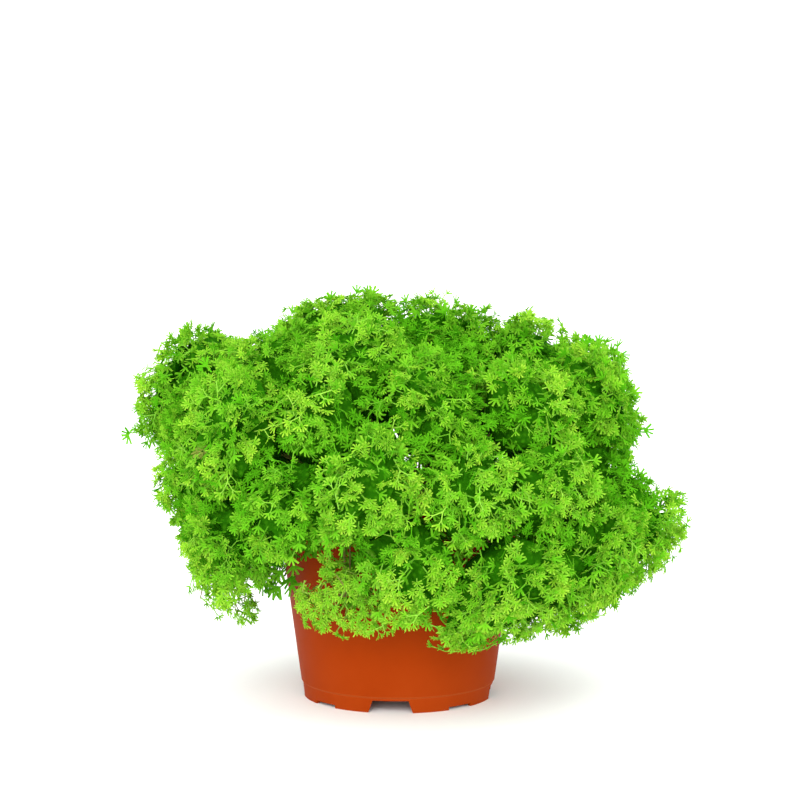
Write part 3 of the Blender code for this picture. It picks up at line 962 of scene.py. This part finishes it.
def clear_of_pot(pot, point, gap):
    """True if the point is over the pot, or outside its wall by the gap."""
    return point.z > pot.height + gap or point.xy.length > outer_radius(pot, point.z) + gap


def over_bare_wall(point):
    """True if the point lies in front of the patch of wall that the leaves leave bare."""
    low, high = BARE_HEIGHTS
    return low < point.z < high and BARE_WALL[0] < math.atan2(point.y, point.x) < BARE_WALL[1]


def cell_of(point):
    return tuple(math.floor(part / SPRIG_GAP) for part in point)


def crowded(cells, point, gap):
    """True if another point, in the same cell or the next, lies nearer than the gap."""
    x, y, z = cell_of(point)
    for around in itertools.product((x - 1, x, x + 1), (y - 1, y, y + 1), (z - 1, z, z + 1)):
        if any((point - other).length < gap for other in cells.get(around, ())):
            return True
    return False


def spread_points(faces, draw, gap_at):
    """Points spread evenly over the faces, each with its face's normal and index. gap_at gives the
    gap at a point, or None where there is to be no point."""
    areas = [face.calc_area() for face in faces]
    tries = int(sum(areas) / PATCH_WIDTH**2 * PATCH_TRIES)
    cells = {}
    places = []
    for face in draw.choices(faces, weights=areas, k=tries):
        first, second, third = (corner.co for corner in face.verts)
        point = first.lerp(second.lerp(third, draw.random()), math.sqrt(draw.random()))
        gap = gap_at(point)
        if gap is None or crowded(cells, point, gap):
            continue
        cells.setdefault(cell_of(point), []).append(point)
        places.append((point, face.normal.copy(), face.index))
    return places


def rim_band(pot):
    """A band outside the rim, for the ends of the inner leaves that hide it."""
    bm = bmesh.new()
    radius = pot.rim_radius + FRINGE_OUT
    place = Matrix.Translation((0, 0, (FRINGE_HIGH + FRINGE_LOW) / 2))
    bmesh.ops.create_cone(
        bm, segments=72, radius1=radius, radius2=radius, depth=FRINGE_HIGH - FRINGE_LOW, matrix=place
    )
    bmesh.ops.triangulate(bm, faces=bm.faces)
    bm.normal_update()
    return bm


def share_out(skin, mound, owners, pot):
    """Spreads the places of the sprigs over the skin and gives each to the nearest lobe."""
    faces = list(skin.faces)
    layer = skin.verts.layers.float["hollow"]
    hollows = [sum(corner[layer] for corner in face.verts) / 3 for face in faces]
    draw = random.Random(f"{SEED} places")

    def owner(point):
        return owners[mound.find_nearest(point)[2]]

    def skin_gap(point):
        return SPRIG_GAP if clear_of_pot(pot, point, PLACE_POT_GAP) else None

    def fringe_gap(point):
        if over_bare_wall(point) or mound.find_nearest(point)[3] > FRINGE_NEAR:
            return None
        return FRINGE_GAP

    for point, out, face in spread_points(faces, draw, skin_gap):
        owner(point).places.append((point, out, hollows[face]))
    for point, out, face in spread_points(faces, draw, skin_gap):
        # The sprigs under the outer ones get more painted shade in the hollows.
        owner(point).under_places.append((point, out, 1.0, hollows[face] * INNER_DARK))
    inner = [face for face in faces if hollows[face.index] > INNER_HOLLOW]
    # Deeper sprigs in the hollows, with painted shade.
    for point, out, _ in spread_points(inner, draw, lambda point: INNER_GAP):
        deeper = point - out * draw.uniform(*INNER_DEPTHS) * MM
        owner(point).under_places.append((deeper, out, 1.0, INNER_DARK))
    band = rim_band(pot)
    # The fringe under the skirt gets painted shade.
    for point, out, _ in spread_points(list(band.faces), draw, fringe_gap):
        owner(point).under_places.append((point, out, FRINGE_SIZE, INNER_DARK))
    band.free()


def sprig_frame(lobe, root, out, tilt):
    """A sprig's axes: along it, across it and out of its flat side."""
    draw = lobe.draw
    heart = lobe.middle + Vector((0, 0, HEART_RISE))
    away = (root - heart) - out * (root - heart).dot(out)
    random_way = Vector((draw.gauss(0, 1), draw.gauss(0, 1), draw.gauss(0, 1)))
    flat = away * (AWAY / (away.length + AWAY_EASE)) + random_way * SCATTER
    flat = flat - Vector((0, 0, HANG[lobe.tier]))
    flat = (flat - out * flat.dot(out)).normalized()
    along = flat * math.cos(tilt) + out * math.sin(tilt)
    up = (out - along * out.dot(along)).normalized()
    up.rotate(Matrix.Rotation(math.radians(draw.uniform(-ROLL, ROLL)), 3, along))
    return along, up.cross(along), up


def placing(root, axes, size):
    along, across, up = axes
    turned_so = Matrix((along, across, up)).transposed().to_4x4()
    return Matrix.Translation(root) @ turned_so @ Matrix.Scale(size * MM, 4)


def sprig_ends(place, reach):
    """The tip and the two sides of a placed sprig of that reach."""
    sides = [(reach * 0.75, reach * 0.45 * way, 0) for way in (-1, 1)]
    return [place @ Vector(spot) for spot in ((reach, 0, 0), *sides)]


def kept_in_box(place, reach):
    """The placing moved so that a sprig of that reach stays inside the CAD model's box, give or
    take a little."""
    low, high = CAD_BOX
    ends = sprig_ends(place, reach)
    shift = Vector()
    for axis in range(3):
        over = max(end[axis] for end in ends) - high[axis] - BOX_LEEWAY
        under = low[axis] - BOX_LEEWAY - min(end[axis] for end in ends)
        shift[axis] = max(under, 0) - max(over, 0)
    return Matrix.Translation(shift) @ place


def drawn_in(place, reach, skin):
    """The placing moved inwards so that the sprig's ends stay within the mound's skin."""
    over = max(-cover_over(end, skin) for end in sprig_ends(place, reach)) - STRAY
    inwards = (MOUND_MIDDLE - place.translation).normalized()
    return Matrix.Translation(inwards * max(over, 0)) @ place


def clear_way(pot, place, length):
    """True if a sprig of that length, so placed, stays off the pot."""
    return all(clear_of_pot(pot, place @ Vector((length * share, 0, 0)), POT_GAP) for share in (0.5, 1))


def add_outer_sprigs(bm, lobe, pot, leaf, skin, kinds):
    """The sprigs that end on the skin, with runners among them."""
    draw = lobe.draw
    for point, normal, hollow in lobe.places:
        out = (normal + (point - lobe.middle).normalized() * LOBE_LEAN).normalized()
        sort = "runner" if draw.random() < RUNNER_SHARE else "sprig"
        size = leaf.size * draw.uniform(*OUTER_SIZES)
        tilt = math.radians(draw.uniform(*TILTS[sort]))
        length = SPRIG_LENGTH[sort]
        root = point - out * (length * size * math.sin(tilt) + draw.uniform(*OUTER_DEPTHS)) * MM
        place = drawn_in(placing(root, sprig_frame(lobe, root, out, tilt), size), length, skin)
        place = kept_in_box(place, length)
        if clear_way(pot, place, length):
            age = draw.uniform(*OLD_AGES) if draw.random() < OLD_SHARE else 0.0
            # A random darkening, and painted shade where the skin lies hollow.
            shade = min(draw.random() ** 3 * OUTER_SHADE + hollow * HOLLOW_SHADE, MOST_SHADE)
            stamp(bm, draw.choice(kinds[sort]), place, draw.random(), shade, age)


def add_under_sprigs(bm, lobe, pot, leaf, kinds):
    """The plainer sprigs under the outer ones, darkened with painted shade."""
    draw = lobe.draw
    for point, normal, scale, dark in lobe.under_places:
        size = leaf.size * scale * draw.uniform(*UNDER_SIZES)
        root = point - normal * draw.uniform(*UNDER_DEPTHS) * MM
        axes = sprig_frame(lobe, root, normal, math.radians(draw.uniform(*TILTS["under"])))
        place = kept_in_box(placing(root, axes, size), SPRIG_LENGTH["under"])
        if clear_way(pot, place, SPRIG_LENGTH["under"]):
            # Painted shade for lying under the outer sprigs, with more in the hollows.
            shade = min(draw.uniform(*UNDER_SHADES) + dark, MOST_SHADE)
            stamp(bm, draw.choice(kinds["under"]), place, draw.random() * UNDER_TINT, shade, 0.0)


def trailing_points(lobe, pot):
    """Points spread over a trailing lobe, each with the way out of it there."""
    gap = FREE_GAP if lobe.middle.xy.length > FREE_REACH else TRAIL_GAP

    def gap_at(point):
        bare = point.z < TRAIL_LOWEST or over_bare_wall(point)
        return None if bare or not clear_of_pot(pot, point, TRAIL_POT_GAP) else gap

    return spread_points(list(lobe.outline.faces), lobe.draw, gap_at)


def add_trailing_sprigs(bm, layers, lobe, pot, leaf, kinds):
    """Thin old stems that fork and hang under the skirt, with loose sprigs that end on the lobe's
    outline. Each stem grows from the nearest place that is already joined."""
    draw = lobe.draw
    joined = [lobe.middle]
    found = sorted(trailing_points(lobe, pot), key=lambda place: (place[0] - lobe.middle).length)
    for point, out, _ in found:
        sort = "runner" if draw.random() < RUNNER_SHARE else "sprig"
        size = leaf.size * draw.uniform(*TRAIL_SIZES)
        axes = sprig_frame(lobe, point, out, math.radians(draw.uniform(*TRAIL_TILTS)))
        root = point - axes[0] * SPRIG_LENGTH[sort] * size * MM
        place = kept_in_box(placing(root, axes, size), SPRIG_LENGTH[sort])
        if not (clear_way(pot, place, SPRIG_LENGTH[sort]) and clear_of_pot(pot, root, MM)):
            continue
        near = min(joined, key=lambda other: (other - root).length)
        if (near - root).length > LONGEST_TWIG and len(joined) > 1:
            continue
        start = len(bm.verts)
        add_twig(bm, layers, near, root, *TRAIL_STEM)
        joined.append(root)
        bm.verts.ensure_lookup_table()
        age = OLD_STEM_AGE if draw.random() < OLD_STEM_SHARE else STEM_AGE
        for corner in bm.verts[start:]:
            corner[layers["tint"]] = 0.5
            corner[layers["age"]] = age
        template = draw.choice(kinds[sort])
        stamp(bm, template, place, draw.uniform(*TRAIL_TINTS), draw.random() * TRAIL_SHADE, 0.0)


def cover_over(point, skin):
    """How much of the mound lies over a point, on the line out from the mound's middle, or 0 where
    that line leaves through the open underside."""
    out = (point - MOUND_MIDDLE).normalized()
    hit = skin.ray_cast(MOUND_MIDDLE + out * FAR_OUT, -out)
    if hit[0] is None or hit[3] > FAR_OUT:
        return 0.0
    return FAR_OUT - hit[3] - (point - MOUND_MIDDLE).length


def add_core(bm, layers, lobe, skin, pot):
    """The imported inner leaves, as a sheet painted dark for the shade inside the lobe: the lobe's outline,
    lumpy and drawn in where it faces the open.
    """
    inner = lobe.outline.copy()
    bmesh.ops.subdivide_edges(inner, edges=inner.edges, cuts=3, use_grid_fill=True)
    for corner in inner.verts:
        away = corner.co - lobe.middle
        lumpy = CORE_DEPTH + CORE_LUMP * noise.noise(corner.co * 210)
        depth = max(lumpy - cover_over(corner.co, skin), CORE_LEAST_DEPTH)
        corner.co = lobe.middle + away.normalized() * max(away.length - depth, CORE_LEAST_REACH)
        if not clear_of_pot(pot, corner.co, POT_GAP):
            corner.co.xy = corner.co.xy.normalized() * (outer_radius(pot, corner.co.z) + POT_GAP)
    mesh = mesh_of(inner, "core")
    start = len(bm.verts)
    bm.from_mesh(mesh)
    bpy.data.meshes.remove(mesh)
    bm.verts.ensure_lookup_table()
    for corner in bm.verts[start:]:
        corner[layers["tip"]] = 0.5
        corner[layers["tint"]] = 0.5 + 0.5 * noise.noise(corner.co * 400)
        # Painted shade: the whole sheet takes the pattern of painted dark gaps.
        corner[layers["shade"]] = 1.0


def smooth_route(route, steps):
    """The route as a smooth line of points."""
    padded = [route[0] * 2 - route[1], *route, route[-1] * 2 - route[-2]]
    points = []
    for before, start, end, after in zip(padded, padded[1:], padded[2:], padded[3:]):
        for step in range(steps):
            t = step / steps
            bend = (end - before) * t + (before * 2 - start * 5 + end * 4 - after) * t**2
            bend += (start * 3 - before - end * 3 + after) * t**3
            points.append(start + bend / 2)
    return [*points, route[-1]]


def add_stems(bm, layers, lobe):
    """The strands of stem that run together from the soil into the lobe."""
    draw = lobe.draw
    for strand in range(STRAND_COUNT):
        turn = strand * math.tau / STRAND_COUNT
        offset = Vector((math.cos(turn), math.sin(turn), 0)) * STRAND_OUT * MM
        route = smooth_route(lobe.route, 4)
        last = len(route) - 1
        points = [p + offset * (1 + STRAND_PARTING * index / last) for index, p in enumerate(route)]
        start = len(bm.verts)
        for index, (near, far) in enumerate(zip(points, points[1:])):
            thick = (STRAND_THICK - STRAND_THINNING * index / last) * MM
            add_twig(bm, layers, near, far, thick, thick * 0.97, STRAND_SIDES)
        bm.verts.ensure_lookup_table()
        for corner in bm.verts[start:]:
            corner[layers["tint"]] = draw.uniform(*STRAND_TINTS)
            corner[layers["age"]] = OLDER_AGE if lobe.tier in ("skirt", "trailing") else STRAND_AGE


def make_spray(lobe, pot, leaf, skin, kinds):
    """One spray: its stems, its packed inner leaves as a sheet painted dark for shade, and its sprigs."""
    bm = bmesh.new()
    layers = growth_layers(bm)
    add_stems(bm, layers, lobe)
    if lobe.tier == "trailing":
        add_trailing_sprigs(bm, layers, lobe, pot, leaf, kinds)
    else:
        add_core(bm, layers, lobe, skin, pot)
        add_outer_sprigs(bm, lobe, pot, leaf, skin, kinds)
        add_under_sprigs(bm, lobe, pot, leaf, kinds)
    name = lobe.node.replace("spray_", "leafy_spray_")
    return new_object(name, mesh_of(bm, name))


class SPIKEMOSS_OT_pot(bpy.types.Operator):
    """Makes the nursery pot"""

    bl_idname = "spikemoss.pot"
    bl_label = "Make the pot"

    def execute(self, context):
        pot = context.scene.spikemoss_pot
        finish_piece(make_pot_body(pot), "pot", pot_plastic(pot))
        return {"FINISHED"}


class SPIKEMOSS_OT_soil(bpy.types.Operator):
    """Makes the peat that fills the pot"""

    bl_idname = "spikemoss.soil"
    bl_label = "Make the soil"

    def execute(self, context):
        scene = context.scene
        body = make_soil_body(scene.spikemoss_pot, scene.spikemoss_soil)
        finish_piece(body, "soil", peat(scene.spikemoss_soil))
        return {"FINISHED"}


class SPIKEMOSS_OT_sprays(bpy.types.Operator):
    """Makes the leafy sprays, from the crown of the mound to those that trail under its skirt"""

    bl_idname = "spikemoss.sprays"
    bl_label = "Make the sprays"

    def execute(self, context):
        pot = context.scene.spikemoss_pot
        leaf = context.scene.spikemoss_leaf
        lobes = [Lobe(name) for name in sorted(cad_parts) if name.startswith("spray_")]
        if not lobes:
            raise RuntimeError("the frame has no spray")
        mound, owners = mound_of([lobe for lobe in lobes if lobe.tier != "trailing"])
        shell = skin_of(mound)
        share_out(shell, mound, owners, pot)
        skin = BVHTree.FromBMesh(shell)
        shell.free()
        kinds = sprig_kinds()
        finish = foliage(leaf)
        for lobe in sorted(lobes, key=lambda lobe: list(HANG).index(lobe.tier)):
            finish_piece(make_spray(lobe, pot, leaf, skin, kinds), lobe.node, finish)
        return {"FINISHED"}


def add_light(name, kind, place, power, colour, **settings):
    """A light that shines on the middle of the plant."""
    data = bpy.data.lights.new(name, kind)
    data.energy = power
    data.color = colour
    for setting, value in settings.items():
        setattr(data, setting, value)
    made = new_object(name, data)
    made.location = place
    made.rotation_euler = (LIT_POINT - Vector(place)).to_track_quat("-Z", "Y").to_euler()


def floor_finish(stage):
    made, tree, shader = new_material("pale floor", 0.85, 0.2)
    mottle = add_mottle(tree, 3.0, 200.0, 0.5)
    warm = tuple(part * 0.985 for part in stage.floor_colour)
    colour = mix_colours(tree, mottle.outputs["Patches"], warm, stage.floor_colour)
    link(tree, colour, shader.inputs["Base Color"])
    return made


def make_floor(stage):
    bm = bmesh.new()
    bmesh.ops.create_circle(bm, cap_ends=True, segments=96, radius=stage.floor_radius)
    floor = new_object("studio_floor", mesh_of(bm, "studio_floor"))
    floor.data.materials.append(floor_finish(stage))


def make_sky(scene):
    world = bpy.data.worlds.new("studio white")
    world.use_nodes = True
    sky = world.node_tree.nodes["Background"]
    sky.inputs["Color"].default_value = (1.0, 1.0, 1.0, 1.0)
    sky.inputs["Strength"].default_value = SKY_STRENGTH
    scene.world = world


def make_camera(scene, stage):
    data = bpy.data.cameras.new("camera")
    data.sensor_width = 36
    data.lens = stage.lens
    data.clip_end = 50
    camera = new_object("camera", data)
    rise = stage.camera_elevation
    place = Vector((0, -math.cos(rise), math.sin(rise))) * stage.camera_distance
    target = Vector((0, 0, stage.aim_height))
    camera.location = place
    camera.rotation_euler = (target - place).to_track_quat("-Z", "Y").to_euler()
    data.shift_x = PICTURE_SHIFT
    scene.camera = camera


class SPIKEMOSS_OT_stage(bpy.types.Operator):
    """Makes the floor, the lights and the camera"""

    bl_idname = "spikemoss.stage"
    bl_label = "Make the stage"

    def execute(self, context):
        scene = context.scene
        stage = scene.spikemoss_stage
        make_floor(stage)
        make_sky(scene)
        softness = math.radians(40)
        add_light("key light", "SUN", (-0.25, -2.0, 1.0), 2.55, (1.0, 0.99, 0.96), angle=softness)
        add_light("fill light", "AREA", (1.5, -1.2, 0.9), 8, (0.97, 0.99, 1.0), shape="DISK", size=1.4)
        make_camera(scene, stage)
        scene.view_settings.view_transform = "Standard"
        return {"FINISHED"}


OPERATORS = (SPIKEMOSS_OT_stage, SPIKEMOSS_OT_pot, SPIKEMOSS_OT_soil, SPIKEMOSS_OT_sprays)
SETTINGS = {
    "spikemoss_pot": SpikemossPotSettings,
    "spikemoss_soil": SpikemossSoilSettings,
    "spikemoss_leaf": SpikemossLeafSettings,
    "spikemoss_stage": SpikemossStageSettings,
}


class SPIKEMOSS_PT_panel(bpy.types.Panel):
    """Lists the pieces of the potted spikemoss"""

    bl_label = "Potted spikemoss"
    bl_idname = "SPIKEMOSS_PT_panel"
    bl_space_type = "VIEW_3D"
    bl_region_type = "UI"
    bl_category = "Spikemoss"

    def draw(self, context):
        for made in OPERATORS:
            self.layout.operator(made.bl_idname)
        for name, group in SETTINGS.items():
            box = self.layout.box()
            for field in group.__annotations__:
                box.prop(getattr(context.scene, name), field)


CLASSES = (*SETTINGS.values(), *OPERATORS, SPIKEMOSS_PT_panel)


def register():
    for made in CLASSES:
        bpy.utils.register_class(made)
    for name, group in SETTINGS.items():
        setattr(bpy.types.Scene, name, PointerProperty(type=group))


def unregister():
    for name in SETTINGS:
        delattr(bpy.types.Scene, name)
    for made in reversed(CLASSES):
        bpy.utils.unregister_class(made)


def main():
    register()
    for made in OPERATORS:
        family, name = made.bl_idname.split(".")
        getattr(getattr(bpy.ops, family), name)()


if __name__ == "__main__":
    main()
